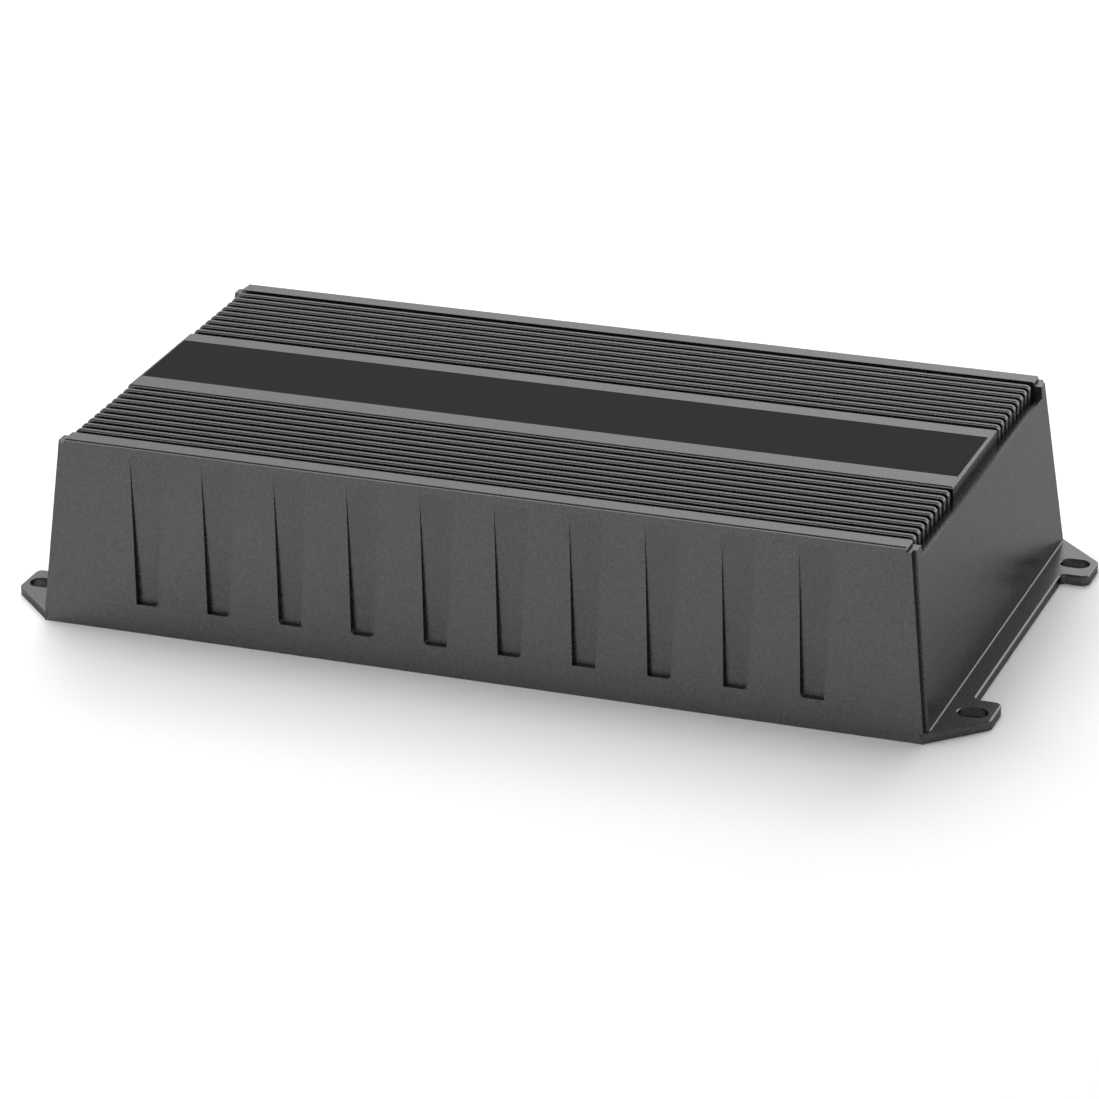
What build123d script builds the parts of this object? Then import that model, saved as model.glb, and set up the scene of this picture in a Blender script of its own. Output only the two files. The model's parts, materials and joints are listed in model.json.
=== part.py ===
from build123d import *

import os

# Four-channel car amplifier. A die-cast aluminium tub, open at the bottom, carries the heat-sink fins
# on its top, fluted long walls and four slotted mounting ears. A recessed bay in the rear wall holds
# the terminals, inputs and controls. Millimetres, +Z up, X along the long side, rear wall at +Y,
# origin at the middle of the footprint on the mounting surface.

# ---------------------------------------------------------------- driving dimensions
HEIGHT = 52.5
BASE_LENGTH, BASE_DEPTH = 253.0, 135.0
TOP_LENGTH, TOP_DEPTH = 242.2, 125.0
# The square notch down each corner.
CORNER_X, CORNER_Y = 1.0, 1.9

FIN_HEIGHT, FIN_THICK, FIN_PITCH = 5.0, 1.7, 3.78
FIN_COUNT = 9
FIRST_FIN_Y = 23.93
FIN_END_X, FIN_END_RADIUS, FIN_EDGE = 119.0, 1.4, 0.45
WELL_HALF_DEPTH = 57.2
PLATEAU_HALF_DEPTH = 20.9
LIP_X, LIP_DROP = 120.2, 4.4
RIB_STEP, TOP_RADIUS = 1.2, 0.6
BADGE_FRONT_Y, BADGE_REAR_Y, BADGE_HALF_X, BADGE_THICK = -13.6, 15.0, 118.1, 0.3

FLUTE_COUNT, FLUTE_PITCH = 10, 21.05
FLUTE_TOP_Z, FLUTE_LOW_Z = 50.0, 8.2
FLUTE_TOP_WIDTH, FLUTE_LOW_WIDTH, FLUTE_DEPTH = 9.6, 6.5, 1.9
FLUTE_DRAFT = 7.0

EAR_X, EAR_THICK, FLANGE_X = 139.5, 2.8, 131.8
EAR_OUTER_Y, EAR_INNER_Y = 53.8, 42.4
EAR_START_X = 125.0
ROOT_RADIUS, ROOT_HALF_Y, STRIP_RADIUS = 0.35, 64.8, 0.7
SLOT_X, SLOT_Y, SLOT_LENGTH, SLOT_WIDTH = 133.6, 50.5, 8.0, 5.5

END_WALL, LONG_WALL, ROOF_Z = 3.5, 5.0, 44.0
END_LEDGE, LONG_LEDGE = 1.6, 2.4
PLATE_LOW, PLATE_TOP, GASKET_TOP = 0.6, 2.4, 3.2
PLATE_GAP = 0.25

BAY_HALF_X, BAY_LOW, BAY_HIGH = 108.0, 9.0, 41.0
SEAT_HALF_X, SEAT_LOW, SEAT_HIGH = 102.0, 14.0, 36.0
BAY_Z, SEAT_Z = (BAY_LOW + BAY_HIGH) / 2, (SEAT_LOW + SEAT_HIGH) / 2
FRAME_HALF_X, FRAME_REAR, FRAME_OUT, SEAT_FACE = 112.0, 50.5, 60.0, 54.0
PANEL_BACK, PANEL_FACE = 54.8, 56.8
PANEL_GAP, PANEL_CORE = 0.3, 1.05
PANEL_SCREWS = [(x, z) for x in (-105.0, 105.0) for z in (14.0, 36.0)] + [(15.5, 11.5), (15.5, 38.5)]

BOARD_LOW, BOARD_TOP = 8.4, 10.0
BOARD_HALF_X, BOARD_FRONT, BOARD_REAR = 115.0, -53.0, 50.0
PILLARS = [(x, y) for x in (-105.0, 0.0, 105.0) for y in (-30.0, 34.0)]
PILLAR_RADIUS, PILLAR_HOLE_DEEP, M3_CORE, RAIL_HOLE_DEEP = 3.2, 10.0, 1.25, 7.0

CASE_SCREWS = [(x, y) for x in (-108.0, -36.0, 36.0, 108.0) for y in (-59.5, 58.5)]
CASE_SCREWS += [(-118.6, 0.0), (118.6, 0.0)]
BOSS_RADIUS, BOSS_TOP, CASE_HOLE_DEEP = 3.4, 18.0, 5.2

RAIL_FACE, RAIL_REAR, RAIL_LOW, RAIL_HALF_X = -50.0, -61.0, 22.0, 101.0
DEVICE_COUNT, DEVICE_PITCH = 14, 14.0
CLAMP_SCREW_X = [(n - DEVICE_COUNT / 4) * 2 * DEVICE_PITCH for n in range(DEVICE_COUNT // 2 + 1)]
DEVICE_WIDE, DEVICE_THICK, DEVICE_LOW, DEVICE_HIGH = 10.0, 4.4, 24.0, 39.5
PAD_THICK = 0.4
BAR_THICK, BAR_LOW, BAR_HIGH = 2.5, 28.0, 36.0
BAR_Z = (BAR_LOW + BAR_HIGH) / 2

POWER_X, POWER_PITCH, POWER_COUNT = -81.0, 12.0, 3
SPEAKER_X, SPEAKER_PITCH, SPEAKER_COUNT = -22.0, 8.2, 8
BLOCK_LOW, BLOCK_HIGH, BLOCK_FACE, BLOCK_REAR = 14.5, 35.5, 64.0, 38.0
PLATE_FACE_Y, CONTACT_THICK = 59.2, 1.2
CONTACT_Z = 25.0

RCA_X, RCA_Z = (84.0, 97.0), (18.5, 31.5)
RCA_TIP = 66.3
REMOTE_X, REMOTE_Z = 70.5, 25.0
KNOB_X, KNOB_Z = (21.0, 33.0, 45.0, 57.0), 31.0
SWITCH_X, SWITCH_Z = (22.0, 36.0, 50.0), 19.0
LED_X, LED_Z = 59.5, 19.0


# ---------------------------------------------------------------- shared shapes
def half_size(z):
    """Half length and half depth of the drafted outside at height z."""
    share = z / HEIGHT
    length = BASE_LENGTH + (TOP_LENGTH - BASE_LENGTH) * share
    depth = BASE_DEPTH + (TOP_DEPTH - BASE_DEPTH) * share
    return length / 2, depth / 2


def tapered_block(inset_x, inset_y, low, high):
    """A block that follows the draft of the outside, set in from it."""
    with BuildPart() as block:
        for z in (low, high):
            half_x, half_y = half_size(z)
            with BuildSketch(Plane.XY.offset(z)):
                Rectangle(2 * (half_x - inset_x), 2 * (half_y - inset_y))
        loft(ruled=True)
    return block.part


def outside_block():
    """The drafted outside, with a notch down each corner."""
    with BuildPart() as block:
        for z in (0, HEIGHT):
            x, y = half_size(z)
            corner = [(x, y - CORNER_Y), (x - CORNER_X, y - CORNER_Y), (x - CORNER_X, y)]
            points = list(corner)
            points += [(-px, py) for px, py in reversed(corner)]
            points += [(-px, -py) for px, py in corner]
            points += [(px, -py) for px, py in reversed(corner)]
            with BuildSketch(Plane.XY.offset(z)):
                with BuildLine():
                    Polyline(*points, close=True)
                make_face()
        loft(ruled=True)
    return block.part


def facing_rear(x, y, z):
    """A sketch plane that looks out of the rear wall, with its x along +X and its y along +Z."""
    return Plane(origin=(x, y, z), x_dir=(1, 0, 0), z_dir=(0, -1, 0))


def rear_box(x, z, wide, high, y_low, y_high, radius=0.0):
    """A box given by its middle in X and Z, and by the two Y planes that it lies between."""
    with BuildPart() as box:
        with BuildSketch(facing_rear(x, y_high, z)):
            if radius:
                RectangleRounded(wide, high, radius)
            else:
                Rectangle(wide, high)
        extrude(amount=y_high - y_low)
    return box.part


def rear_cylinder(x, z, radius, y_low, y_high):
    """A round bar along Y between two planes."""
    with BuildPart() as bar:
        with BuildSketch(facing_rear(x, y_high, z)):
            Circle(radius)
        extrude(amount=y_high - y_low)
    return bar.part


def upright_cylinder(x, y, radius, low, high):
    """A round bar along Z between two heights."""
    with BuildPart() as bar:
        with BuildSketch(Plane.XY.offset(low)):
            with Locations((x, y)):
                Circle(radius)
        extrude(amount=high - low)
    return bar.part


def keep(part, name):
    """Names a finished piece and writes its STEP."""
    part.label = name
    export_step(part, f"parts/{name}.step")


os.makedirs("parts", exist_ok=True)


# ---------------------------------------------------------------- the cast housing
def single_fin():
    """One fin along X, with rounded top corners at its ends and eased long edges."""
    with BuildPart() as fin:
        with BuildSketch(Plane.XZ.offset(-FIN_THICK / 2)):
            with Locations((0, HEIGHT - FIN_HEIGHT / 2 - 0.25)):
                Rectangle(2 * FIN_END_X, FIN_HEIGHT + 0.5)
        extrude(amount=FIN_THICK)
        fillet(fin.edges().filter_by(Axis.Y).group_by(Axis.Z)[-1], FIN_END_RADIUS)
        sides = fin.faces().filter_by(Axis.Y)
        long_edges = [e for e in sides.edges() if e.center().Z > HEIGHT - FIN_HEIGHT]
        fillet(long_edges, FIN_EDGE)
    return fin.part


def plateau():
    """The flat band between the two fin groups."""
    with BuildPart() as band:
        with BuildSketch(Plane.XZ.offset(-PLATEAU_HALF_DEPTH)):
            with Locations((0, HEIGHT - FIN_HEIGHT / 2 - 0.25)):
                Rectangle(2 * FIN_END_X, FIN_HEIGHT + 0.5)
        extrude(amount=2 * PLATEAU_HALF_DEPTH)
        fillet(band.faces().sort_by(Axis.Z)[-1].edges(), TOP_RADIUS)
    return band.part


def flute(x):
    """The wedge that cuts one flute: no depth at its top, deepest at its foot, narrowing downwards."""
    foot_y = -half_size(FLUTE_LOW_Z)[1]
    top_y = -half_size(FLUTE_TOP_Z)[1]
    fall = FLUTE_TOP_Z - FLUTE_LOW_Z
    wall = Plane(origin=(x, top_y, FLUTE_TOP_Z), x_dir=(1, 0, 0), z_dir=(0, -fall, top_y - foot_y))
    length = (Vector(0, foot_y, FLUTE_LOW_Z) - Vector(0, top_y, FLUTE_TOP_Z)).length
    with BuildPart() as pocket:
        with BuildSketch(wall) as outline:
            with BuildLine():
                Polyline(
                    (-FLUTE_TOP_WIDTH / 2, 0),
                    (FLUTE_TOP_WIDTH / 2, 0),
                    (FLUTE_LOW_WIDTH / 2, -length),
                    (-FLUTE_LOW_WIDTH / 2, -length),
                    close=True,
                )
            make_face()
            fillet(outline.vertices().sort_by(Axis.Z)[:2], 1.2)
        extrude(amount=-FLUTE_DEPTH - 1, taper=FLUTE_DRAFT)
        with BuildSketch(Plane.YZ.offset(x - FLUTE_TOP_WIDTH)):
            with BuildLine():
                Polyline(
                    (top_y - 2, FLUTE_TOP_Z + 2),
                    (top_y, FLUTE_TOP_Z),
                    (foot_y + FLUTE_DEPTH, FLUTE_LOW_Z - 2),
                    (foot_y - 2, FLUTE_LOW_Z - 2),
                    close=True,
                )
            make_face()
        extrude(amount=2 * FLUTE_TOP_WIDTH, mode=Mode.INTERSECT)
    return pocket.part


def end_flange():
    """The mounting flange of the +X end: a strip along the end wall with a slotted ear at each corner."""
    with BuildPart() as flange:
        with BuildSketch():
            with BuildLine():
                Polyline(
                    (112, 60),
                    (EAR_START_X, BASE_DEPTH / 2),
                    (EAR_X, EAR_OUTER_Y),
                    (EAR_X, EAR_INNER_Y),
                    (FLANGE_X, EAR_INNER_Y),
                    (FLANGE_X, -EAR_INNER_Y),
                    (EAR_X, -EAR_INNER_Y),
                    (EAR_X, -EAR_OUTER_Y),
                    (EAR_START_X, -BASE_DEPTH / 2),
                    (112, -60),
                    close=True,
                )
            make_face()
            tips = [v for v in vertices() if v.X > EAR_X - 1]
            fillet(tips, 2.0)
            roots = [v for v in vertices() if abs(v.X - FLANGE_X) < 0.1]
            fillet(roots, 1.6)
        extrude(amount=EAR_THICK)
        rim = flange.faces().sort_by(Axis.Z)[-1].edges()
        chamfer([e for e in rim if e.center().X > EAR_START_X], 0.4)
        with BuildSketch():
            with Locations((SLOT_X, SLOT_Y), (SLOT_X, -SLOT_Y)):
                SlotOverall(SLOT_LENGTH, SLOT_WIDTH)
        extrude(amount=EAR_THICK, mode=Mode.SUBTRACT)
        mouths = flange.faces().sort_by(Axis.Z)[-1].inner_wires().edges()
        chamfer(mouths, 0.3)
    return flange.part


def root_cove():
    """The hollow-cornered strip where the +X end wall runs out into its flange."""
    foot_x, wall_x = half_size(EAR_THICK)[0], half_size(EAR_THICK + ROOT_RADIUS)[0]
    low, high, out_x = EAR_THICK - 1, EAR_THICK + ROOT_RADIUS, foot_x + ROOT_RADIUS
    bow = ROOT_RADIUS * (1 - 0.5 ** 0.5)
    with BuildPart() as cove:
        with BuildSketch(Plane.XZ.offset(-ROOT_HALF_Y)):
            with BuildLine():
                ThreePointArc((wall_x, high), (foot_x + bow, EAR_THICK + bow), (out_x, EAR_THICK))
                Polyline((out_x, EAR_THICK), (out_x, low), (wall_x - 1, low))
                Polyline((wall_x - 1, low), (wall_x - 1, high), (wall_x, high))
            make_face()
        extrude(amount=2 * ROOT_HALF_Y)
    return cove.part


with BuildPart() as housing:
    add(outside_block())
    long_tops = housing.faces().sort_by(Axis.Z)[-1].edges().filter_by(Axis.X).sort_by(SortBy.LENGTH)[-2:]
    fillet(long_tops, TOP_RADIUS)

    # The well that the fins stand in, its lower lip along each end wall, and the step at the wall ends.
    with BuildSketch(Plane.XY.offset(HEIGHT - FIN_HEIGHT)):
        Rectangle(2 * LIP_X, 2 * WELL_HALF_DEPTH)
    extrude(amount=FIN_HEIGHT + 1, mode=Mode.SUBTRACT)
    with BuildSketch(Plane.XY.offset(HEIGHT - LIP_DROP)):
        Rectangle(2 * BASE_LENGTH, 2 * WELL_HALF_DEPTH)
    extrude(amount=LIP_DROP + 1, mode=Mode.SUBTRACT)
    with BuildSketch(Plane.XY.offset(HEIGHT - RIB_STEP)):
        Rectangle(BASE_LENGTH + 10, BASE_DEPTH)
        Rectangle(2 * FIN_END_X + 0.2, BASE_DEPTH + 2, mode=Mode.SUBTRACT)
    extrude(amount=RIB_STEP + 1, mode=Mode.SUBTRACT)
    across = housing.edges().filter_by(Axis.Y)
    strips = [e for e in across if abs(e.center().Z - HEIGHT) < 0.01 and abs(e.center().X) > FIN_END_X]
    fillet(strips, STRIP_RADIUS)

    add(plateau())
    fin = single_fin()
    for number in range(FIN_COUNT):
        for side in (-1, 1):
            with Locations((0, side * (FIRST_FIN_Y + FIN_PITCH * number), 0)):
                add(fin)

    # The shallow bed for the badge strip.
    with BuildSketch(Plane.XY.offset(HEIGHT - BADGE_THICK)):
        with Locations((0, (BADGE_FRONT_Y + BADGE_REAR_Y) / 2)):
            Rectangle(2 * BADGE_HALF_X, BADGE_REAR_Y - BADGE_FRONT_Y)
    extrude(amount=1, mode=Mode.SUBTRACT)

    for number in range(FLUTE_COUNT):
        add(flute((number - (FLUTE_COUNT - 1) / 2) * FLUTE_PITCH + 0.3), mode=Mode.SUBTRACT)

    flange = end_flange()
    add(flange)
    add(flange.mirror(Plane.YZ))
    cove = root_cove()
    add(cove)
    add(cove.mirror(Plane.YZ))

    # The inside, and the rebate for the bottom plate.
    add(tapered_block(END_WALL, LONG_WALL, -2, ROOF_Z), mode=Mode.SUBTRACT)
    add(tapered_block(END_WALL - END_LEDGE, LONG_WALL - LONG_LEDGE, -2, GASKET_TOP), mode=Mode.SUBTRACT)

    # Cast frame around the rear bay.
    frame_high = ROOF_Z - GASKET_TOP
    add(rear_box(0, GASKET_TOP + frame_high / 2, 2 * FRAME_HALF_X, frame_high, FRAME_REAR, FRAME_OUT))
    bay_high, seat_high = BAY_HIGH - BAY_LOW, SEAT_HIGH - SEAT_LOW
    bay = rear_box(0, BAY_Z, 2 * BAY_HALF_X, bay_high, SEAT_FACE, BASE_DEPTH / 2 + 5, 3.0)
    add(bay, mode=Mode.SUBTRACT)
    window = rear_box(0, SEAT_Z, 2 * SEAT_HALF_X, seat_high, FRAME_REAR - 5, SEAT_FACE + 1, 2.0)
    add(window, mode=Mode.SUBTRACT)
    for x, z in PANEL_SCREWS:
        add(rear_cylinder(x, z, PANEL_CORE, FRAME_REAR - 1, SEAT_FACE + 1), mode=Mode.SUBTRACT)

    # Rail that the power devices are clamped to.
    rail_top = ROOF_Z + 1
    rail_z, rail_high = (RAIL_LOW + rail_top) / 2, rail_top - RAIL_LOW
    add(rear_box(0, rail_z, 2 * RAIL_HALF_X, rail_high, RAIL_REAR, RAIL_FACE))
    for x in CLAMP_SCREW_X:
        add(rear_cylinder(x, BAR_Z, M3_CORE, RAIL_FACE - RAIL_HOLE_DEEP, RAIL_FACE + 1), mode=Mode.SUBTRACT)

    # Bosses for the bottom plate, where the bay frame doesn't take its screws, and the board's pillars.
    for x, y in CASE_SCREWS:
        if y < FRAME_REAR:
            add(upright_cylinder(x, y, BOSS_RADIUS, GASKET_TOP, BOSS_TOP))
    for x, y in PILLARS:
        add(upright_cylinder(x, y, PILLAR_RADIUS, BOARD_TOP, ROOF_Z + 1))
    for x, y in CASE_SCREWS:
        add(upright_cylinder(x, y, M3_CORE, -1, GASKET_TOP + CASE_HOLE_DEEP), mode=Mode.SUBTRACT)
    for x, y in PILLARS:
        add(upright_cylinder(x, y, M3_CORE, 0, BOARD_TOP + PILLAR_HOLE_DEEP), mode=Mode.SUBTRACT)
keep(housing.part, "housing")


# ---------------------------------------------------------------- badge strip, bottom plate and gasket
with BuildPart() as badge_strip:
    with BuildSketch(Plane.XY.offset(HEIGHT - BADGE_THICK)):
        with Locations((0, (BADGE_FRONT_Y + BADGE_REAR_Y) / 2)):
            RectangleRounded(2 * BADGE_HALF_X - 0.2, BADGE_REAR_Y - BADGE_FRONT_Y - 0.2, 0.5)
    extrude(amount=BADGE_THICK - 0.05)
keep(badge_strip.part, "badge_strip")


PLATE_HALF_X = half_size(PLATE_TOP)[0] - (END_WALL - END_LEDGE) - PLATE_GAP
PLATE_HALF_Y = half_size(PLATE_TOP)[1] - (LONG_WALL - LONG_LEDGE) - PLATE_GAP
CASE_HEAD_RADIUS, CASE_SHANK_RADIUS, CASE_HEAD_DEPTH = 2.7, 1.2, 1.4

with BuildPart() as bottom_plate:
    with BuildSketch(Plane.XY.offset(PLATE_LOW)):
        RectangleRounded(2 * PLATE_HALF_X, 2 * PLATE_HALF_Y, 0.8)
    extrude(amount=PLATE_TOP - PLATE_LOW)
    with Locations(Plane.XY.offset(PLATE_LOW)):
        with Locations(*[Location((x, y, 0), (180, 0, 0)) for x, y in CASE_SCREWS]):
            CounterSinkHole(CASE_SHANK_RADIUS + 0.2, CASE_HEAD_RADIUS + 0.15, counter_sink_angle=90)
keep(bottom_plate.part, "bottom_plate")

with BuildPart() as bottom_gasket:
    with BuildSketch(Plane.XY.offset(PLATE_TOP)):
        RectangleRounded(2 * PLATE_HALF_X - 0.4, 2 * PLATE_HALF_Y - 0.4, 0.8)
        Rectangle(2 * PLATE_HALF_X - 5.0, 2 * PLATE_HALF_Y - 6.0, mode=Mode.SUBTRACT)
        with Locations(*CASE_SCREWS):
            Circle(BOSS_RADIUS)
        with Locations(*CASE_SCREWS):
            Circle(CASE_SHANK_RADIUS + 0.3, mode=Mode.SUBTRACT)
    extrude(amount=GASKET_TOP - PLATE_TOP)
keep(bottom_gasket.part, "bottom_gasket")

CROSS_WIDE = 0.8


def cross_recess(plane, size, depth):
    """A cross-shaped driver recess, cut inwards from a head's face."""
    with BuildPart() as cut:
        with BuildSketch(plane):
            Rectangle(2 * size, CROSS_WIDE)
            Rectangle(CROSS_WIDE, 2 * size)
        extrude(amount=-depth)
    return cut.part


def pan_screw(plane, head_radius, head_high, shank_radius, shank_long):
    """A pan-head screw. The plane lies under the head, and its normal points out of the head."""
    with BuildPart() as screw:
        with BuildSketch(plane):
            Circle(head_radius)
        extrude(amount=head_high)
        crown = screw.edges().filter_by(GeomType.CIRCLE).sort_by(Axis(plane.origin, plane.z_dir))[-1]
        fillet(crown, head_high * 0.45)
        with BuildSketch(plane):
            Circle(shank_radius)
        extrude(amount=-shank_long)
        add(cross_recess(plane.offset(head_high), head_radius * 0.6, head_high * 0.55), mode=Mode.SUBTRACT)
    return screw.part


with BuildPart() as bottom_screws:
    for x, y in CASE_SCREWS:
        with BuildSketch(Plane.XY.offset(PLATE_LOW)):
            with Locations((x, y)):
                Circle(CASE_HEAD_RADIUS)
        with BuildSketch(Plane.XY.offset(PLATE_LOW + CASE_HEAD_DEPTH)):
            with Locations((x, y)):
                Circle(CASE_SHANK_RADIUS)
        loft()
        add(upright_cylinder(x, y, CASE_SHANK_RADIUS, PLATE_LOW + CASE_HEAD_DEPTH, GASKET_TOP + 4.8))
        add(cross_recess(Plane(origin=(x, y, PLATE_LOW), z_dir=(0, 0, -1)), 1.7, 0.8), mode=Mode.SUBTRACT)
keep(bottom_screws.part, "bottom_screws")


# ---------------------------------------------------------------- rear panel, its gasket and screws
POWER_POLES = [POWER_X + (n - (POWER_COUNT - 1) / 2) * POWER_PITCH for n in range(POWER_COUNT)]
SPEAKER_POLES = [SPEAKER_X + (n - (SPEAKER_COUNT - 1) / 2) * SPEAKER_PITCH for n in range(SPEAKER_COUNT)]
BLOCK_Z, BLOCK_TALL = (BLOCK_LOW + BLOCK_HIGH) / 2, BLOCK_HIGH - BLOCK_LOW
POWER_WIDE, SPEAKER_WIDE = POWER_COUNT * POWER_PITCH + 1.6, SPEAKER_COUNT * SPEAKER_PITCH + 1.2
KNOB_RADIUS, RCA_RADIUS, LED_RADIUS = 3.0, 4.15, 1.5
DOT_RING, DOT_RADIUS = 4.6, 0.3
SWITCH_SLOT_WIDE, SWITCH_SLOT_HIGH = 8.4, 3.0
REMOTE_SIZE = 11.0
OPEN_GAP = 0.15

with BuildPart() as rear_panel:
    with BuildSketch(facing_rear(0, PANEL_FACE, BAY_Z)):
        RectangleRounded(2 * (BAY_HALF_X - PANEL_GAP), BAY_HIGH - BAY_LOW - 2 * PANEL_GAP, 2.7)
    extrude(amount=PANEL_FACE - PANEL_BACK)
    with BuildSketch(facing_rear(0, PANEL_FACE, 0)):
        with Locations((POWER_X, BLOCK_Z)):
            Rectangle(POWER_WIDE + 2 * OPEN_GAP, BLOCK_TALL + 2 * OPEN_GAP)
        with Locations((SPEAKER_X, BLOCK_Z)):
            Rectangle(SPEAKER_WIDE + 2 * OPEN_GAP, BLOCK_TALL + 2 * OPEN_GAP)
        with Locations(*[(x, z) for x in RCA_X for z in RCA_Z]):
            Circle(RCA_RADIUS + 0.6)
        with Locations((REMOTE_X, REMOTE_Z)):
            Rectangle(REMOTE_SIZE + 2 * OPEN_GAP, REMOTE_SIZE + 2 * OPEN_GAP)
        with Locations(*[(x, KNOB_Z) for x in KNOB_X]):
            Circle(KNOB_RADIUS + 0.4)
        with Locations(*[(x, SWITCH_Z) for x in SWITCH_X]):
            Rectangle(SWITCH_SLOT_WIDE, SWITCH_SLOT_HIGH)
        with Locations((LED_X, LED_Z)):
            Circle(LED_RADIUS + OPEN_GAP)
        with Locations(*PANEL_SCREWS):
            Circle(PANEL_CORE + OPEN_GAP)
    extrude(amount=PANEL_FACE - PANEL_BACK, mode=Mode.SUBTRACT)
    # Scale marks around each knob, as shallow dots.
    with BuildSketch(facing_rear(0, PANEL_FACE, 0)):
        for x in KNOB_X:
            with Locations((x, KNOB_Z)):
                with PolarLocations(DOT_RING, 7, start_angle=-60, angular_range=300, endpoint=True):
                    Circle(DOT_RADIUS)
    extrude(amount=0.25, mode=Mode.SUBTRACT)
keep(rear_panel.part, "rear_panel")

with BuildPart() as panel_gasket:
    with BuildSketch(facing_rear(0, PANEL_BACK, 0)):
        with Locations((0, BAY_Z)):
            RectangleRounded(2 * (BAY_HALF_X - PANEL_GAP), BAY_HIGH - BAY_LOW - 2 * PANEL_GAP, 2.7)
        with Locations((0, SEAT_Z)):
            Rectangle(2 * SEAT_HALF_X, SEAT_HIGH - SEAT_LOW, mode=Mode.SUBTRACT)
        with Locations(*PANEL_SCREWS):
            Circle(PANEL_CORE + OPEN_GAP, mode=Mode.SUBTRACT)
    extrude(amount=PANEL_BACK - SEAT_FACE)
keep(panel_gasket.part, "panel_gasket")

with BuildPart() as panel_screws:
    for x, z in PANEL_SCREWS:
        under_head = Plane(origin=(x, PANEL_FACE, z), x_dir=(1, 0, 0), z_dir=(0, 1, 0))
        add(pan_screw(under_head, 2.1, 1.3, 1.0, 5.4))
keep(panel_screws.part, "panel_screws")


# ---------------------------------------------------------------- terminal blocks
POLE_LOW, BARRIER, FOOT_REAR, CONTACT_HIGH = 19.5, 1.6, 49.0, 35.0
LEG_Z, LEG_Y, LEG_THICK = 17.0, 42.0, 1.2
THREAD_GAP, SCREW_BORE_Y = 0.06, 48.0


def terminal_contact(x, pitch, screw_radius):
    """A bent strip: a plate under the screw, a run forward through the block and a leg to the board."""
    wide = pitch - BARRIER - 0.6
    with BuildPart() as contact:
        plate_high = CONTACT_HIGH - LEG_Z
        plate_y = PLATE_FACE_Y - CONTACT_THICK
        add(rear_box(x, LEG_Z + plate_high / 2, wide, plate_high, plate_y, PLATE_FACE_Y))
        add(rear_box(x, LEG_Z + LEG_THICK / 2, wide * 0.6, LEG_THICK, LEG_Y, plate_y))
        leg_high = LEG_Z + LEG_THICK - BOARD_TOP
        add(rear_box(x, BOARD_TOP + leg_high / 2, wide * 0.6, leg_high, LEG_Y, LEG_Y + 1))
        bore = rear_cylinder(x, CONTACT_Z, screw_radius + THREAD_GAP, plate_y - 1, PLATE_FACE_Y + 1)
        add(bore, mode=Mode.SUBTRACT)
    return contact.part


def terminal_block(middle_x, poles, pitch, wide, screw_radius, contacts):
    """A barrier block with one pocket for each pole, open to the rear and upwards."""
    with BuildPart() as block:
        add(rear_box(middle_x, BLOCK_Z, wide, BLOCK_TALL, BLOCK_REAR, BLOCK_FACE))
        chamfer(block.edges().filter_by(Axis.Y), 0.6)
        foot_high = BLOCK_Z - BOARD_TOP
        add(rear_box(middle_x, BOARD_TOP + foot_high / 2, wide - 2, foot_high, BLOCK_REAR, FOOT_REAR))
        for x in poles:
            pocket_high = BLOCK_HIGH + 1 - POLE_LOW
            pocket_z = POLE_LOW + pocket_high / 2
            pocket_y = PLATE_FACE_Y - CONTACT_THICK
            pocket = rear_box(x, pocket_z, pitch - BARRIER, pocket_high, pocket_y, BLOCK_FACE + 1)
            add(pocket, mode=Mode.SUBTRACT)
            bore = rear_cylinder(x, CONTACT_Z, screw_radius + THREAD_GAP, SCREW_BORE_Y, PLATE_FACE_Y)
            add(bore, mode=Mode.SUBTRACT)
        add(contacts, mode=Mode.SUBTRACT)
    return block.part


POWER_SHANK, SPEAKER_SHANK = 2.4, 1.7
for name, middle_x, poles, pitch, wide, shank, head in (
    ("power", POWER_X, POWER_POLES, POWER_PITCH, POWER_WIDE, POWER_SHANK, 4.0),
    ("speaker", SPEAKER_X, SPEAKER_POLES, SPEAKER_PITCH, SPEAKER_WIDE, SPEAKER_SHANK, 2.9),
):
    with BuildPart() as contacts:
        for x in poles:
            add(terminal_contact(x, pitch, shank))
    keep(contacts.part, f"{name}_contacts")
    with BuildPart() as block:
        add(terminal_block(middle_x, poles, pitch, wide, shank, contacts.part))
    keep(block.part, f"{name}_terminal_block")
    for number, x in enumerate(poles, start=1):
        under_head = Plane(origin=(x, PLATE_FACE_Y + 0.05, CONTACT_Z), x_dir=(1, 0, 0), z_dir=(0, 1, 0))
        with BuildPart() as clamp_screw:
            add(pan_screw(under_head, head, 2.4, shank, 9.5))
        keep(clamp_screw.part, f"{name}_clamp_screw_{number}")


# ---------------------------------------------------------------- signal inputs and the remote socket
JACK_LOW, JACK_HIGH, JACK_BACK = 14.2, 35.8, 44.0
JACK_X, JACK_WIDE = sum(RCA_X) / 2, 19.8
SLEEVE_RADIUS, PIN_RADIUS, SHELL_WALL = 3.2, 1.65, 0.45
JACKS = [(x, z) for x in RCA_X for z in RCA_Z]
SHELL_BACK = PANEL_BACK - 3

with BuildPart() as input_jack_body:
    jack_z, jack_high = (JACK_LOW + JACK_HIGH) / 2, JACK_HIGH - JACK_LOW
    add(rear_box(JACK_X, jack_z, JACK_WIDE, jack_high, JACK_BACK, PANEL_BACK))
    foot_high = JACK_LOW + 1 - BOARD_TOP
    add(rear_box(JACK_X, BOARD_TOP + foot_high / 2, JACK_WIDE, foot_high, JACK_BACK, FOOT_REAR))
    for x, z in JACKS:
        add(rear_cylinder(x, z, RCA_RADIUS, SHELL_BACK, PANEL_BACK + 1), mode=Mode.SUBTRACT)
keep(input_jack_body.part, "input_jack_body")

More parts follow.
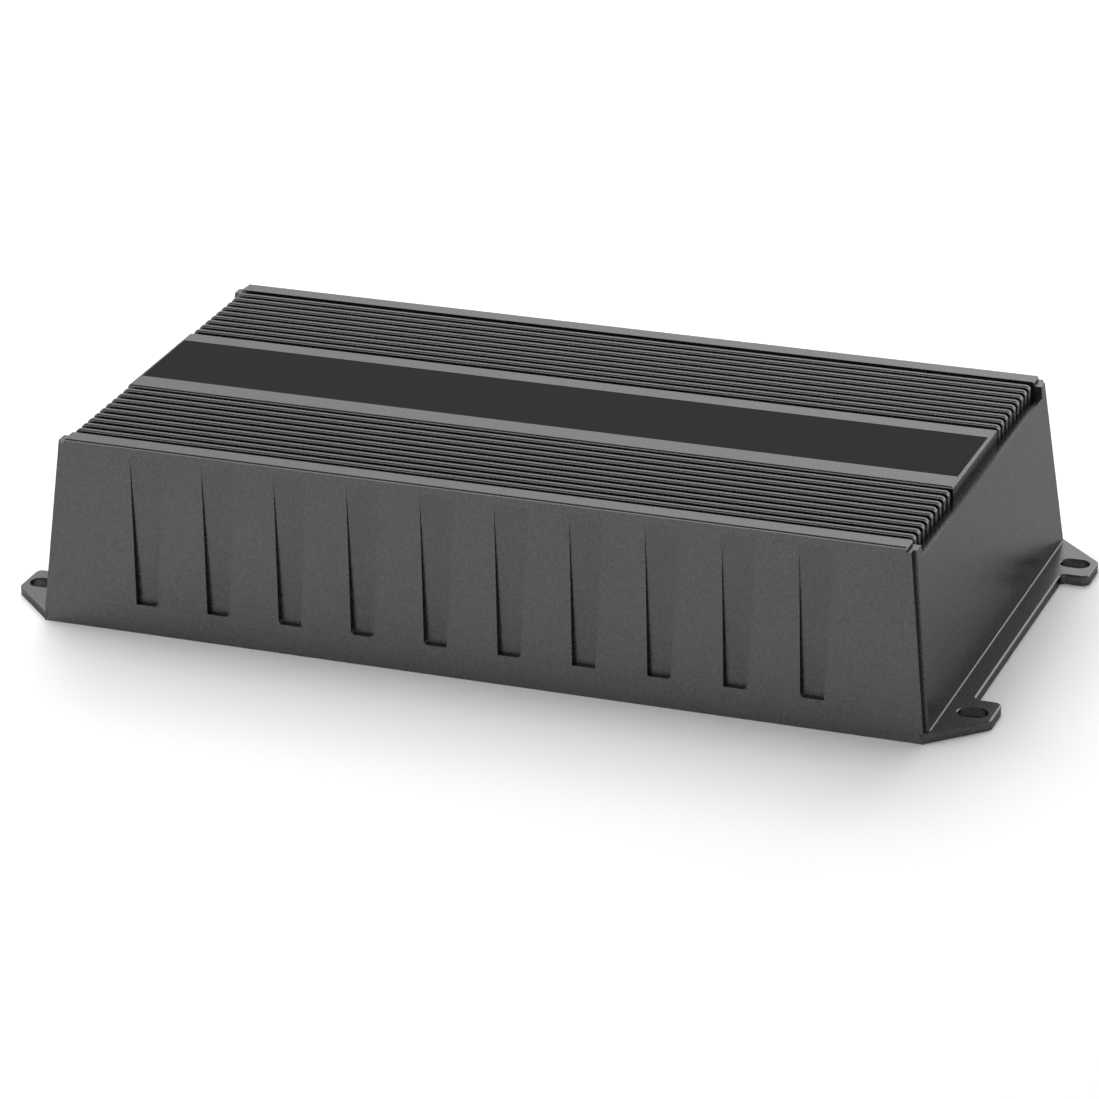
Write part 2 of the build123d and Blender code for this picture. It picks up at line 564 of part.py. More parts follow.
with BuildPart() as input_jack_shells:
    for x, z in JACKS:
        with BuildSketch(Plane(origin=(x, 0, z), x_dir=(1, 0, 0), z_dir=(0, 0, 1))):
            with BuildLine():
                Polyline(
                    (SLEEVE_RADIUS + 0.1, SHELL_BACK),
                    (RCA_RADIUS, SHELL_BACK),
                    (RCA_RADIUS, RCA_TIP - 0.5),
                    (RCA_RADIUS - SHELL_WALL, RCA_TIP),
                    (SLEEVE_RADIUS + 0.1, RCA_TIP),
                    close=True,
                )
            make_face()
        revolve(axis=Axis((x, 0, z), (0, 1, 0)))
keep(input_jack_shells.part, "input_jack_shells")

with BuildPart() as input_jack_sleeves:
    for x, z in JACKS:
        add(rear_cylinder(x, z, SLEEVE_RADIUS, SHELL_BACK, RCA_TIP - 0.4))
        add(rear_cylinder(x, z, PIN_RADIUS, PANEL_BACK - 1, RCA_TIP + 1), mode=Mode.SUBTRACT)
keep(input_jack_sleeves.part, "input_jack_sleeves")

REMOTE_FACE, REMOTE_BACK, REMOTE_FLOOR = 57.3, 44.0, 47.0
MOUTH_WIDE, MOUTH_HIGH, MOUTH_RISE = 7.8, 6.6, 0.6
LATCH_WIDE, LATCH_HIGH, LATCH_DROP = 3.4, 1.8, 3.3
PIN_PITCH, PIN_WIDE, PIN_HIGH, PIN_RISE = 1.27, 0.45, 0.5, 3.65
with BuildPart() as remote_socket:
    add(rear_box(REMOTE_X, REMOTE_Z, REMOTE_SIZE, REMOTE_SIZE, REMOTE_BACK, REMOTE_FACE))
    foot_high = REMOTE_Z - BOARD_TOP
    add(rear_box(REMOTE_X, BOARD_TOP + foot_high / 2, REMOTE_SIZE, foot_high, REMOTE_BACK, FOOT_REAR))
    mouth_z, latch_z, out = REMOTE_Z + MOUTH_RISE, REMOTE_Z - LATCH_DROP, REMOTE_FACE + 1
    add(rear_box(REMOTE_X, mouth_z, MOUTH_WIDE, MOUTH_HIGH, REMOTE_FLOOR, out), mode=Mode.SUBTRACT)
    add(rear_box(REMOTE_X, latch_z, LATCH_WIDE, LATCH_HIGH, REMOTE_FLOOR, out), mode=Mode.SUBTRACT)
keep(remote_socket.part, "remote_socket")

with BuildPart() as remote_contacts:
    for number in range(4):
        x = REMOTE_X + (number - 1.5) * PIN_PITCH
        add(rear_box(x, REMOTE_Z + PIN_RISE, PIN_WIDE, PIN_HIGH, REMOTE_FLOOR, REMOTE_FACE - 2))
keep(remote_contacts.part, "remote_contacts")


# ---------------------------------------------------------------- controls on their own upright board
CONTROL_BACK, CONTROL_FACE = 43.4, 45.0
UPRIGHT_X, UPRIGHT_WIDE, UPRIGHT_HIGH = 38.5, 48.0, 26.0
UPRIGHT_Z = BOARD_TOP + UPRIGHT_HIGH / 2
POT_WIDE, POT_LOW, POT_HIGH = 9.6, 26.2, 35.8
SPINDLE_RADIUS, SPINDLE_BACK, KNOB_FACE = 1.9, 49.0, 59.6
KNOB_SLOT_LONG, KNOB_SLOT_WIDE = 4.6, 0.8
SWITCH_WIDE, SWITCH_HIGH, SWITCH_BACK = 11.4, 6.0, 46.5
CAP_WIDE, CAP_HIGH, CAP_TRAVEL, CAP_FACE = 3.6, 2.4, 4.0, 58.0

with BuildPart() as control_board:
    add(rear_box(UPRIGHT_X, UPRIGHT_Z, UPRIGHT_WIDE, UPRIGHT_HIGH, CONTROL_BACK, CONTROL_FACE))
keep(control_board.part, "control_board")

with BuildPart() as control_bodies:
    for x in KNOB_X:
        pot_z, pot_tall = (POT_LOW + POT_HIGH) / 2, POT_HIGH - POT_LOW
        add(rear_box(x, pot_z, POT_WIDE, pot_tall, CONTROL_FACE, PANEL_BACK))
        bore = rear_cylinder(x, KNOB_Z, SPINDLE_RADIUS + 0.05, SPINDLE_BACK - 0.3, PANEL_BACK + 1)
        add(bore, mode=Mode.SUBTRACT)
keep(control_bodies.part, "control_bodies")

for number, x in enumerate(KNOB_X, start=1):
    with BuildPart() as level_knob:
        add(rear_cylinder(x, KNOB_Z, SPINDLE_RADIUS, SPINDLE_BACK, PANEL_BACK + 0.4))
        add(rear_cylinder(x, KNOB_Z, KNOB_RADIUS, PANEL_BACK + 0.3, KNOB_FACE))
        rim = level_knob.edges().filter_by(GeomType.CIRCLE).sort_by(Axis.Y)[-1]
        fillet(rim, 0.4)
        # A driver slot across the face, and a shallower notch from it to the upper rim as a pointer.
        slot = rear_box(x, KNOB_Z, KNOB_SLOT_LONG, KNOB_SLOT_WIDE, KNOB_FACE - 1.0, KNOB_FACE + 1)
        add(slot, mode=Mode.SUBTRACT)
        notch = rear_box(x, KNOB_Z + 1.3, KNOB_SLOT_WIDE, 2.0, KNOB_FACE - 0.6, KNOB_FACE + 1)
        add(notch, mode=Mode.SUBTRACT)
    keep(level_knob.part, f"level_knob_{number}")

with BuildPart() as switch_bodies:
    for x in SWITCH_X:
        add(rear_box(x, SWITCH_Z, SWITCH_WIDE, SWITCH_HIGH, CONTROL_FACE, PANEL_BACK))
        track_wide = SWITCH_SLOT_WIDE + 0.4
        track = rear_box(x, SWITCH_Z, track_wide, SWITCH_SLOT_HIGH, SWITCH_BACK, PANEL_BACK + 1)
        add(track, mode=Mode.SUBTRACT)
keep(switch_bodies.part, "switch_bodies")

for number, x in enumerate(SWITCH_X, start=1):
    with BuildPart() as switch_cap:
        add(rear_box(x - CAP_TRAVEL / 2, SWITCH_Z, CAP_WIDE, CAP_HIGH, SWITCH_BACK + 0.3, CAP_FACE))
        with BuildSketch(facing_rear(0, CAP_FACE, SWITCH_Z)):
            with Locations(*[(x - CAP_TRAVEL / 2 + step, 0) for step in (-1.0, 0.0, 1.0)]):
                Rectangle(0.35, CAP_HIGH)
        extrude(amount=0.3, mode=Mode.SUBTRACT)
    keep(switch_cap.part, f"switch_cap_{number}")

with BuildPart() as light_pipe:
    add(rear_cylinder(LED_X, LED_Z, LED_RADIUS, CONTROL_FACE, PANEL_FACE + 0.8))
    tip = light_pipe.edges().filter_by(GeomType.CIRCLE).sort_by(Axis.Y)[-1]
    fillet(tip, 0.7)
keep(light_pipe.part, "light_pipe")


# ---------------------------------------------------------------- circuit board and what stands on it
BOARD_SCREW_LONG = 7.0
with BuildPart() as circuit_board:
    with BuildSketch(Plane.XY.offset(BOARD_LOW)):
        with Locations((0, (BOARD_FRONT + BOARD_REAR) / 2)):
            RectangleRounded(2 * BOARD_HALF_X, BOARD_REAR - BOARD_FRONT, 2.0)
        with Locations(*PILLARS):
            Circle(M3_CORE + 0.3, mode=Mode.SUBTRACT)
    extrude(amount=BOARD_TOP - BOARD_LOW)
keep(circuit_board.part, "circuit_board")

with BuildPart() as board_screws:
    for x, y in PILLARS:
        under_head = Plane(origin=(x, y, BOARD_LOW), x_dir=(1, 0, 0), z_dir=(0, 0, -1))
        add(pan_screw(under_head, 2.7, 1.9, M3_CORE - 0.05, BOARD_SCREW_LONG))
keep(board_screws.part, "board_screws")

DEVICE_X = [(number - (DEVICE_COUNT - 1) / 2) * DEVICE_PITCH for number in range(DEVICE_COUNT)]
DEVICE_BACK = RAIL_FACE + PAD_THICK
DEVICE_FRONT = DEVICE_BACK + DEVICE_THICK
BAR_FACE = DEVICE_FRONT + BAR_THICK
DEVICE_Z = (DEVICE_LOW + DEVICE_HIGH) / 2
LEAD_PITCH, LEAD_WIDE, LEAD_THICK, PAD_MARGIN = 2.54, 0.9, 0.6, 0.8

with BuildPart() as power_devices:
    for x in DEVICE_X:
        add(rear_box(x, DEVICE_Z, DEVICE_WIDE, DEVICE_HIGH - DEVICE_LOW, DEVICE_BACK, DEVICE_FRONT))
        for lead in (-1, 0, 1):
            lead_x, lead_y = x + lead * LEAD_PITCH, DEVICE_BACK + 1.8
            lead_z, lead_high = (DEVICE_LOW + BOARD_TOP) / 2, DEVICE_LOW - BOARD_TOP
            add(rear_box(lead_x, lead_z, LEAD_WIDE, lead_high, lead_y, lead_y + LEAD_THICK))
keep(power_devices.part, "power_devices")

with BuildPart() as thermal_pads:
    for x in DEVICE_X:
        pad_wide, pad_high = DEVICE_WIDE + 2 * PAD_MARGIN, DEVICE_HIGH - DEVICE_LOW + 2 * PAD_MARGIN
        add(rear_box(x, DEVICE_Z, pad_wide, pad_high, RAIL_FACE, DEVICE_BACK))
keep(thermal_pads.part, "thermal_pads")

BAR_TALL, BAR_ROUND = BAR_HIGH - BAR_LOW, 1.5
with BuildPart() as clamp_bars:
    for side in (-1, 1):
        bar_x = side * RAIL_HALF_X / 2
        add(rear_box(bar_x, BAR_Z, RAIL_HALF_X - 2, BAR_TALL, DEVICE_FRONT, BAR_FACE, BAR_ROUND))
    for x in CLAMP_SCREW_X:
        add(rear_cylinder(x, BAR_Z, M3_CORE + 0.3, DEVICE_FRONT - 1, BAR_FACE + 1), mode=Mode.SUBTRACT)
keep(clamp_bars.part, "clamp_bars")

with BuildPart() as clamp_bar_screws:
    for x in CLAMP_SCREW_X:
        under_head = Plane(origin=(x, BAR_FACE, BAR_Z), x_dir=(1, 0, 0), z_dir=(0, 1, 0))
        add(pan_screw(under_head, 2.8, 2.0, M3_CORE - 0.05, 13.0))
keep(clamp_bar_screws.part, "clamp_bar_screws")

TRANSFORMER = (-62.0, -14.0)
CORE_LONG, CORE_DEEP, CORE_TALL, CORE_LIMB = 36.0, 14.0, 27.0, 5.0
with BuildPart() as transformer_core:
    x, y = TRANSFORMER
    with BuildSketch(Plane.XZ.offset(-y + CORE_DEEP / 2)):
        with Locations((x, BOARD_TOP + CORE_TALL / 2)):
            Rectangle(CORE_LONG, CORE_TALL)
            window_wide = (CORE_LONG - 3 * CORE_LIMB) / 2 - 1
            with Locations((-(CORE_LONG - CORE_LIMB) / 4, 0), ((CORE_LONG - CORE_LIMB) / 4, 0)):
                Rectangle(window_wide, CORE_TALL - 2 * CORE_LIMB, mode=Mode.SUBTRACT)
    extrude(amount=-CORE_DEEP)
keep(transformer_core.part, "transformer_core")

WINDING_GAP = 0.3
with BuildPart() as transformer_windings:
    with BuildSketch(Plane.XY.offset(BOARD_TOP + CORE_LIMB + WINDING_GAP)):
        with Locations(TRANSFORMER):
            RectangleRounded(CORE_LONG - 2 * CORE_LIMB - 2, CORE_DEEP + 14, 5)
            Rectangle(CORE_LIMB + 3.6, CORE_DEEP + 1, mode=Mode.SUBTRACT)
    extrude(amount=CORE_TALL - 2 * CORE_LIMB - 2 * WINDING_GAP)
keep(transformer_windings.part, "transformer_windings")

INDUCTORS = [(x, 8.0) for x in (-30.0, -8.0, 16.0, 40.0)]
DRUM_RADIUS, DRUM_POST, DRUM_TALL, DRUM_FLANGE = 8.0, 4.0, 14.0, 2.0
with BuildPart() as inductor_cores:
    for x, y in INDUCTORS:
        add(upright_cylinder(x, y, DRUM_RADIUS, BOARD_TOP, BOARD_TOP + DRUM_FLANGE))
        add(upright_cylinder(x, y, DRUM_POST, BOARD_TOP, BOARD_TOP + DRUM_TALL))
        add(upright_cylinder(x, y, DRUM_RADIUS, BOARD_TOP + DRUM_TALL - DRUM_FLANGE, BOARD_TOP + DRUM_TALL))
keep(inductor_cores.part, "inductor_cores")

with BuildPart() as inductor_windings:
    for x, y in INDUCTORS:
        low, high = BOARD_TOP + DRUM_FLANGE, BOARD_TOP + DRUM_TALL - DRUM_FLANGE
        add(upright_cylinder(x, y, DRUM_RADIUS - 0.8, low, high))
        add(upright_cylinder(x, y, DRUM_POST, low - 1, high + 1), mode=Mode.SUBTRACT)
keep(inductor_windings.part, "inductor_windings")

CHOKE = (-66.0, 20.0)
CHOKE_OUTER, CHOKE_INNER, CHOKE_LOW, CHOKE_HIGH, WIRE = 12.0, 6.5, 12.0, 22.0, 1.8
with BuildPart() as choke_core:
    x, y = CHOKE
    add(upright_cylinder(x, y, CHOKE_OUTER, CHOKE_LOW, CHOKE_HIGH))
    add(upright_cylinder(x, y, CHOKE_INNER, CHOKE_LOW - 1, CHOKE_HIGH + 1), mode=Mode.SUBTRACT)
keep(choke_core.part, "choke_core")

with BuildPart() as choke_winding:
    with BuildSketch(Plane.XZ.offset(WIRE / 2)) as turn:
        with Locations(((CHOKE_OUTER + CHOKE_INNER) / 2, (CHOKE_LOW + CHOKE_HIGH) / 2)):
            Rectangle(CHOKE_OUTER - CHOKE_INNER + 2 * WIRE + 0.4, CHOKE_HIGH - CHOKE_LOW + 2 * WIRE + 0.4)
            Rectangle(CHOKE_OUTER - CHOKE_INNER + 0.4, CHOKE_HIGH - CHOKE_LOW + 0.4, mode=Mode.SUBTRACT)
    one_turn = extrude(amount=-WIRE, mode=Mode.PRIVATE)
    with Locations((CHOKE[0], CHOKE[1])):
        with PolarLocations(0, 12):
            add(one_turn)
keep(choke_winding.part, "choke_winding")

CAPACITORS = [(-97.0, y, 8.0, 26.0) for y in (-15.0, 2.6, 20.2)]
CAPACITORS += [(x, -17.0, 6.3, 22.0) for x in (-32.0, -16.0, 18.0, 34.0)]
with BuildPart() as capacitors:
    for x, y, radius, tall in CAPACITORS:
        add(upright_cylinder(x, y, radius, BOARD_TOP, BOARD_TOP + tall))
        crown = capacitors.edges().filter_by(GeomType.CIRCLE).sort_by(Axis.Z)[-1]
        chamfer(crown, 0.8)
keep(capacitors.part, "capacitors")

CHIPS = [(x, y) for x in (62.0, 84.0) for y in (-22.0, -2.0, 18.0)]
CHIP_LONG, CHIP_DEEP, CHIP_TALL = 13.0, 8.0, 1.8
with BuildPart() as control_chips:
    with BuildSketch(Plane.XY.offset(BOARD_TOP)):
        with Locations(*CHIPS):
            Rectangle(CHIP_LONG, CHIP_DEEP)
    extrude(amount=CHIP_TALL)
keep(control_chips.part, "control_chips")
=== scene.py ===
import json
import math

import bmesh
import bpy
from mathutils import Matrix, Vector


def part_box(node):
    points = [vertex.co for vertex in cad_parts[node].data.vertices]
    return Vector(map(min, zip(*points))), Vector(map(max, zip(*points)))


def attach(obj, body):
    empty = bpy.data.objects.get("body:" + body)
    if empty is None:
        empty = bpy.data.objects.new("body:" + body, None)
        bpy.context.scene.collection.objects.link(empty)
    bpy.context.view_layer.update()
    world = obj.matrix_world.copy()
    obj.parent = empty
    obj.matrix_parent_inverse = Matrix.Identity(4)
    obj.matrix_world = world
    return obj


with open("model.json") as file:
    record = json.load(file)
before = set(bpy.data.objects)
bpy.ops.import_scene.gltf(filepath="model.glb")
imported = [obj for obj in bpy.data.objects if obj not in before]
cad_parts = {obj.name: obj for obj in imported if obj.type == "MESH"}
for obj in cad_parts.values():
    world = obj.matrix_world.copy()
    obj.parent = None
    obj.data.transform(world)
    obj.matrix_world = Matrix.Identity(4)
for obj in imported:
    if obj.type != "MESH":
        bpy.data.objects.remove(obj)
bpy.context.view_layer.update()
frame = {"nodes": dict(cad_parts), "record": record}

MM = 0.001

# ---------------------------------------------------------------- camera
AZIMUTH, ELEVATION, ROLL = math.radians(21.11), math.radians(23.58), math.radians(-1.235)
TARGET = Vector((0, 0, 25 * MM))
DISTANCE, PAN_RIGHT, PAN_UP = 1395 * MM, -2.3 * MM, -13.8 * MM
LENS, SENSOR, REACH = 165.9, 36, 20


def add_object(name, data):
    """Puts a new object into the scene."""
    thing = bpy.data.objects.new(name, data)
    bpy.context.scene.collection.objects.link(thing)
    return thing


def make_camera():
    """A long lens that looks down on the front wall and the right end."""
    back = Vector((
        math.sin(AZIMUTH) * math.cos(ELEVATION),
        -math.cos(AZIMUTH) * math.cos(ELEVATION),
        math.sin(ELEVATION),
    ))
    level = Vector((math.cos(AZIMUTH), math.sin(AZIMUTH), 0))
    upright = back.cross(level)
    right = level * math.cos(ROLL) + upright * math.sin(ROLL)
    up = upright * math.cos(ROLL) - level * math.sin(ROLL)
    turn = Matrix((right, up, back)).transposed().to_4x4()
    place = TARGET + back * DISTANCE + right * PAN_RIGHT + up * PAN_UP
    camera = add_object("camera", bpy.data.cameras.new("camera"))
    camera.matrix_world = Matrix.Translation(place) @ turn
    camera.data.lens = LENS
    camera.data.sensor_width = SENSOR
    camera.data.clip_end = REACH
    bpy.context.scene.camera = camera


# ---------------------------------------------------------------- shader maths
# Where these sockets stand on Blender's Texture Coordinate and Mix nodes
GENERATED, OBJECT = 0, 3
FACTOR, LOW_COLOUR, HIGH_COLOUR, MIXED_COLOUR = 0, 6, 7, 2


class Field:
    """A value socket that takes part in Python arithmetic by adding Math nodes."""

    def __init__(self, owner, socket):
        self.owner = owner
        self.socket = socket

    def _math(self, operation, *values):
        settings = {"operation": operation}
        return self.owner.node("ShaderNodeMath", settings, dict(enumerate(values)))[0]

    def __add__(self, other):
        return self._math("ADD", self, other)

    __radd__ = __add__

    def __mul__(self, other):
        return self._math("MULTIPLY", self, other)

    __rmul__ = __mul__

    def __gt__(self, level):
        return self._math("GREATER_THAN", self, level)

    def wave(self):
        """The sine of the value."""
        return self._math("SINE", self)

    def ramp(self, low, high, start, end, how="LINEAR"):
        """start at low, end at high."""
        return self.owner.node("ShaderNodeMapRange", {"interpolation_type": how}, {
            "Value": self, "From Min": low, "From Max": high, "To Min": start, "To Max": end,
        })[0]

    def step(self, low, high, start=0.0, end=1.0):
        """start at low, end at high, eased between them."""
        return self.ramp(low, high, start, end, "SMOOTHSTEP")


class Nodes:
    """A node tree, with one method that adds any node."""

    def __init__(self, tree):
        self.tree = tree

    def node(self, kind, settings=None, inputs=None):
        """Adds a node: settings first, then the values or links of its sockets."""
        node = self.tree.nodes.new(kind)
        for key, value in (settings or {}).items():
            setattr(node, key, value)
        for key, value in (inputs or {}).items():
            self.feed(node.inputs[key], value)
        return [Field(self, output) for output in node.outputs]

    def feed(self, socket, value):
        """Links a field to a socket, or sets the socket's own value."""
        if isinstance(value, Field):
            self.tree.links.new(value.socket, socket)
        else:
            socket.default_value = value

    def coordinates(self, kind):
        """Texture coordinates of one kind, as a vector field."""
        return self.node("ShaderNodeTexCoord")[kind]

    def axes(self, kind=OBJECT):
        """The three coordinates of one kind, as values."""
        return self.node("ShaderNodeSeparateXYZ", None, {0: self.coordinates(kind)})


class Finish(Nodes):
    """One procedural material around a Principled shader."""

    def __init__(self, name, **sockets):
        self.material = bpy.data.materials.new(name)
        self.material.use_nodes = True
        super().__init__(self.material.node_tree)
        self.shader = self.tree.nodes["Principled BSDF"]
        self.set(**sockets)

    def set(self, **sockets):
        """Feeds the Principled shader; base_color stands for Base Color."""
        for key, value in sockets.items():
            name = key.replace("_", " ").title().replace("Ior", "IOR")
            self.feed(self.shader.inputs[name], value)

    def noise(self, size, detail=2.0, rough=0.5, stretch=(1, 1, 1)):
        """Noise from 0 to 1 whose features are about size metres across."""
        place = self.coordinates(OBJECT)
        scaled = self.node("ShaderNodeMapping", None, {"Vector": place, "Scale": stretch})[0]
        return self.node("ShaderNodeTexNoise", None, {
            "Vector": scaled, "Scale": 1 / size, "Detail": detail, "Roughness": rough,
        })[0]

    def blend(self, factor, low, high):
        """Mixes two colours."""
        settings = {"data_type": "RGBA", "clamp_factor": True}
        inputs = {FACTOR: factor, LOW_COLOUR: low, HIGH_COLOUR: high}
        return self.node("ShaderNodeMix", settings, inputs)[MIXED_COLOUR]

    def bump(self, height, distance, strength):
        """Feeds the Normal socket from a height field."""
        inputs = {"Height": height, "Distance": distance, "Strength": strength}
        self.set(normal=self.node("ShaderNodeBump", None, inputs)[0])


def grey(level):
    """A neutral colour."""
    return (level, level, level, 1)


def shade(colour, factor=1.0):
    """An opaque colour from three channels, all multiplied by a factor."""
    return (*[channel * factor for channel in colour], 1)


# ---------------------------------------------------------------- finishes
NICKEL, ZINC, GOLD = (0.66, 0.62, 0.55), (0.6, 0.61, 0.62), (0.83, 0.6, 0.24)
BLACKENED = (0.05, 0.05, 0.052)
INPUT_RED, INPUT_WHITE = (0.42, 0.012, 0.01), (0.72, 0.7, 0.64)
GLASS_WEAVE, WIRE_TURNS = 6000, 9000  # radians per metre

PLATED = {  # slot: colour, roughness
    "zinc_screw": (ZINC, 0.3),
    "black_screw": (BLACKENED, 0.3),
    "nickel_contact": (NICKEL, 0.24),
    "nickel_screw": (NICKEL, 0.18),
    "plated_shell": (NICKEL, 0.14),
    "gold_contact": (GOLD, 0.15),
    "switch_metal": (ZINC, 0.3),
    "zinc_steel": (ZINC, 0.34),
}
MOULDED = {  # slot: grey level, roughness
    "black_block": (0.022, 0.4),
    "grey_plastic": (0.06, 0.5),
    "grey_knob": (0.09, 0.5),
    "black_cap": (0.03, 0.4),
    "epoxy_black": (0.02, 0.55),
    "grey_pad": (0.2, 0.7),
    "ferrite": (0.03, 0.6),
}


def cast_coating():
    """Dark grey powder coat over a die casting: a fine even grain with a faint bright fleck."""
    finish = Finish("dark_cast_coating", metallic=1.0, specular_tint=grey(0.58))
    texture = finish.noise(0.6 * MM, 3.0, 0.6)
    cloud = finish.noise(22 * MM, 2.0)
    fleck = finish.noise(0.34 * MM, 1.0).step(0.6, 0.75)
    tone = finish.blend(cloud, grey(0.066), grey(0.076))
    tone = finish.blend(texture.step(0.35, 0.7) * 0.5, tone, grey(0.095))
    finish.set(base_color=finish.blend(fleck * 0.22, tone, grey(0.2)))
    finish.set(roughness=0.23 + texture * 0.1)
    finish.bump(texture + fleck * 0.3, 0.05 * MM, 0.3)
    return finish


def badge_film():
    """Matt black film with a very fine grain."""
    finish = Finish("black_badge", specular_ior_level=0.022)
    grain = finish.noise(0.3 * MM, 1.0)
    finish.set(base_color=finish.blend(grain, grey(0.006), grey(0.011)))
    finish.set(roughness=0.6 + grain * 0.15)
    finish.bump(grain, 0.01 * MM, 0.3)
    return finish


def painted_sheet():
    """Satin black paint on steel sheet, slightly orange-peeled."""
    finish = Finish("black_steel_sheet")
    peel = finish.noise(1.6 * MM, 2.0)
    scuff = finish.noise(14 * MM, 5.0, 0.7).step(0.58, 0.75)
    finish.set(base_color=finish.blend(scuff * 0.4, grey(0.02), grey(0.045)))
    finish.set(roughness=0.38 + scuff * 0.2)
    finish.bump(peel, 0.04 * MM, 0.4)
    return finish


def rear_panel_paint():
    """Satin black paint with a fine texture."""
    finish = Finish("black_panel")
    texture = finish.noise(0.5 * MM, 2.0)
    finish.set(base_color=finish.blend(texture, grey(0.018), grey(0.032)))
    finish.set(roughness=0.42 + texture * 0.15)
    finish.bump(texture, 0.03 * MM, 0.5)
    return finish


def moulded(name, level, rough):
    """Spark-eroded moulded plastic."""
    finish = Finish(name)
    grain = finish.noise(0.35 * MM, 2.0)
    cloud = finish.noise(9 * MM, 2.0)
    finish.set(base_color=finish.blend(cloud, grey(level * 0.85), grey(level * 1.15)))
    finish.set(roughness=rough + grain * 0.12)
    finish.bump(grain, 0.02 * MM, 0.4)
    return finish


def plated(name, colour, rough):
    """Bright plating with faint drawing lines and dull patches."""
    finish = Finish(name, metallic=1.0)
    lines = finish.noise(0.25 * MM, 3.0, 0.6, (1, 0.15, 1))
    patch = finish.noise(2.5 * MM, 3.0)
    finish.set(base_color=finish.blend(patch * 0.5, shade(colour), shade(colour, 0.78)))
    finish.set(roughness=rough + patch * 0.12)
    finish.bump(lines, 0.008 * MM, 0.3)
    return finish


def soft_rubber():
    """Soft black gasket rubber."""
    finish = Finish("gasket_rubber", specular_ior_level=0.3)
    grain = finish.noise(0.6 * MM, 2.0)
    finish.set(base_color=finish.blend(grain, grey(0.012), grey(0.025)))
    finish.set(roughness=0.75 + grain * 0.15)
    finish.bump(grain, 0.03 * MM, 0.4)
    return finish


def jack_insulator():
    """White upper row and red lower row of signal inputs."""
    finish = Finish("white_insulator")
    upper = finish.axes()[2] > middle_of("input_jack_sleeves")[1]
    grain = finish.noise(0.5 * MM, 2.0)
    finish.set(base_color=finish.blend(upper, shade(INPUT_RED), shade(INPUT_WHITE)))
    finish.set(roughness=0.3 + grain * 0.15)
    finish.bump(grain, 0.01 * MM, 0.3)
    return finish


def solder_mask():
    """Green solder mask over the weave of glass cloth."""
    finish = Finish("green_board")
    x, y = finish.axes()[:2]
    weave = (x * GLASS_WEAVE).wave() * (y * GLASS_WEAVE).wave()
    patch = finish.noise(6 * MM, 1.0).step(0.48, 0.5)
    finish.set(base_color=finish.blend(patch, (0.01, 0.06, 0.02, 1), (0.016, 0.095, 0.032, 1)))
    finish.set(roughness=0.3 + patch * 0.06)
    finish.bump(weave + patch, 0.02 * MM, 0.4)
    return finish


def clear_pipe():
    """Faintly blue clear plastic."""
    finish = Finish("clear_light_pipe", transmission_weight=0.6, ior=1.49)
    haze = finish.noise(0.8 * MM, 2.0)
    finish.set(base_color=finish.blend(haze, (0.6, 0.7, 0.85, 1), (0.8, 0.86, 0.95, 1)))
    finish.set(roughness=0.1 + haze * 0.1)
    return finish


def copper_wire():
    """Enamelled copper turns."""
    finish = Finish("copper_wire", metallic=0.9)
    turns = (finish.axes()[2] * WIRE_TURNS).wave()
    tarnish = finish.noise(3 * MM, 3.0)
    finish.set(base_color=finish.blend(tarnish, (0.45, 0.16, 0.06, 1), (0.62, 0.27, 0.1, 1)))
    finish.set(roughness=0.25 + tarnish * 0.15)
    finish.bump(turns, 0.1 * MM, 0.8)
    return finish


def capacitor_sleeve():
    """Shrunk black sleeve, faintly rippled."""
    finish = Finish("capacitor_sleeve")
    ripple = finish.noise(1.2 * MM, 2.0)
    finish.set(base_color=finish.blend(ripple, grey(0.012), grey(0.03)))
    finish.set(roughness=0.28 + ripple * 0.12)
    finish.bump(ripple, 0.03 * MM, 0.3)
    return finish


def make_finishes():
    """Every material slot of the record, with its finish."""
    finishes = {
        "dark_cast_coating": cast_coating(),
        "black_badge": badge_film(),
        "black_steel_sheet": painted_sheet(),
        "gasket_rubber": soft_rubber(),
        "black_panel": rear_panel_paint(),
        "white_insulator": jack_insulator(),
        "green_board": solder_mask(),
        "clear_light_pipe": clear_pipe(),
        "copper_wire": copper_wire(),
        "capacitor_sleeve": capacitor_sleeve(),
    }
    for slot, (colour, rough) in PLATED.items():
        finishes[slot] = plated(slot, colour, rough)
    for slot, (level, rough) in MOULDED.items():
        finishes[slot] = moulded(slot, level, rough)
    return finishes


def dress_nodes(finishes):
    """Gives every CAD node the finish of its slot."""
    for part in frame["record"]["subparts"]:
        mesh = frame["nodes"][part["node"]].data
        mesh.materials.clear()
        mesh.materials.append(finishes[part["material_slot"]].material)


# ---------------------------------------------------------------- marks printed on the rear panel
INK_THICK, INK_WIDE = 0.05 * MM, 0.35 * MM
DIAL_RADIUS, DOT_RADIUS, DOT_SIDES = 4.6 * MM, 0.3 * MM, 20
DIAL_START, DIAL_STEP, DIAL_DOTS = -60, 50, 7
SPEAKER_SIGN, POWER_SIGN, SIGN_GAP = 1.8 * MM, 2.2 * MM, 2.1 * MM


def middle_of(node):
    """The X and Z of the middle of a node."""
    low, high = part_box(node)
    return (low[0] + high[0]) / 2, (low[2] + high[2]) / 2


def bar(mesh, middle, size_x, size_z, face):
    """A thin printed bar on the panel face, given by its middle in X and Z."""
    corners = bmesh.ops.create_cube(mesh, size=1)["verts"]
    bmesh.ops.scale(mesh, verts=corners, vec=(size_x, INK_THICK, size_z))
    bmesh.ops.translate(mesh, verts=corners, vec=(middle[0], face + INK_THICK / 2, middle[1]))


def minus(mesh, middle, size, face):
    """A printed minus sign."""
    bar(mesh, middle, size, INK_WIDE, face)


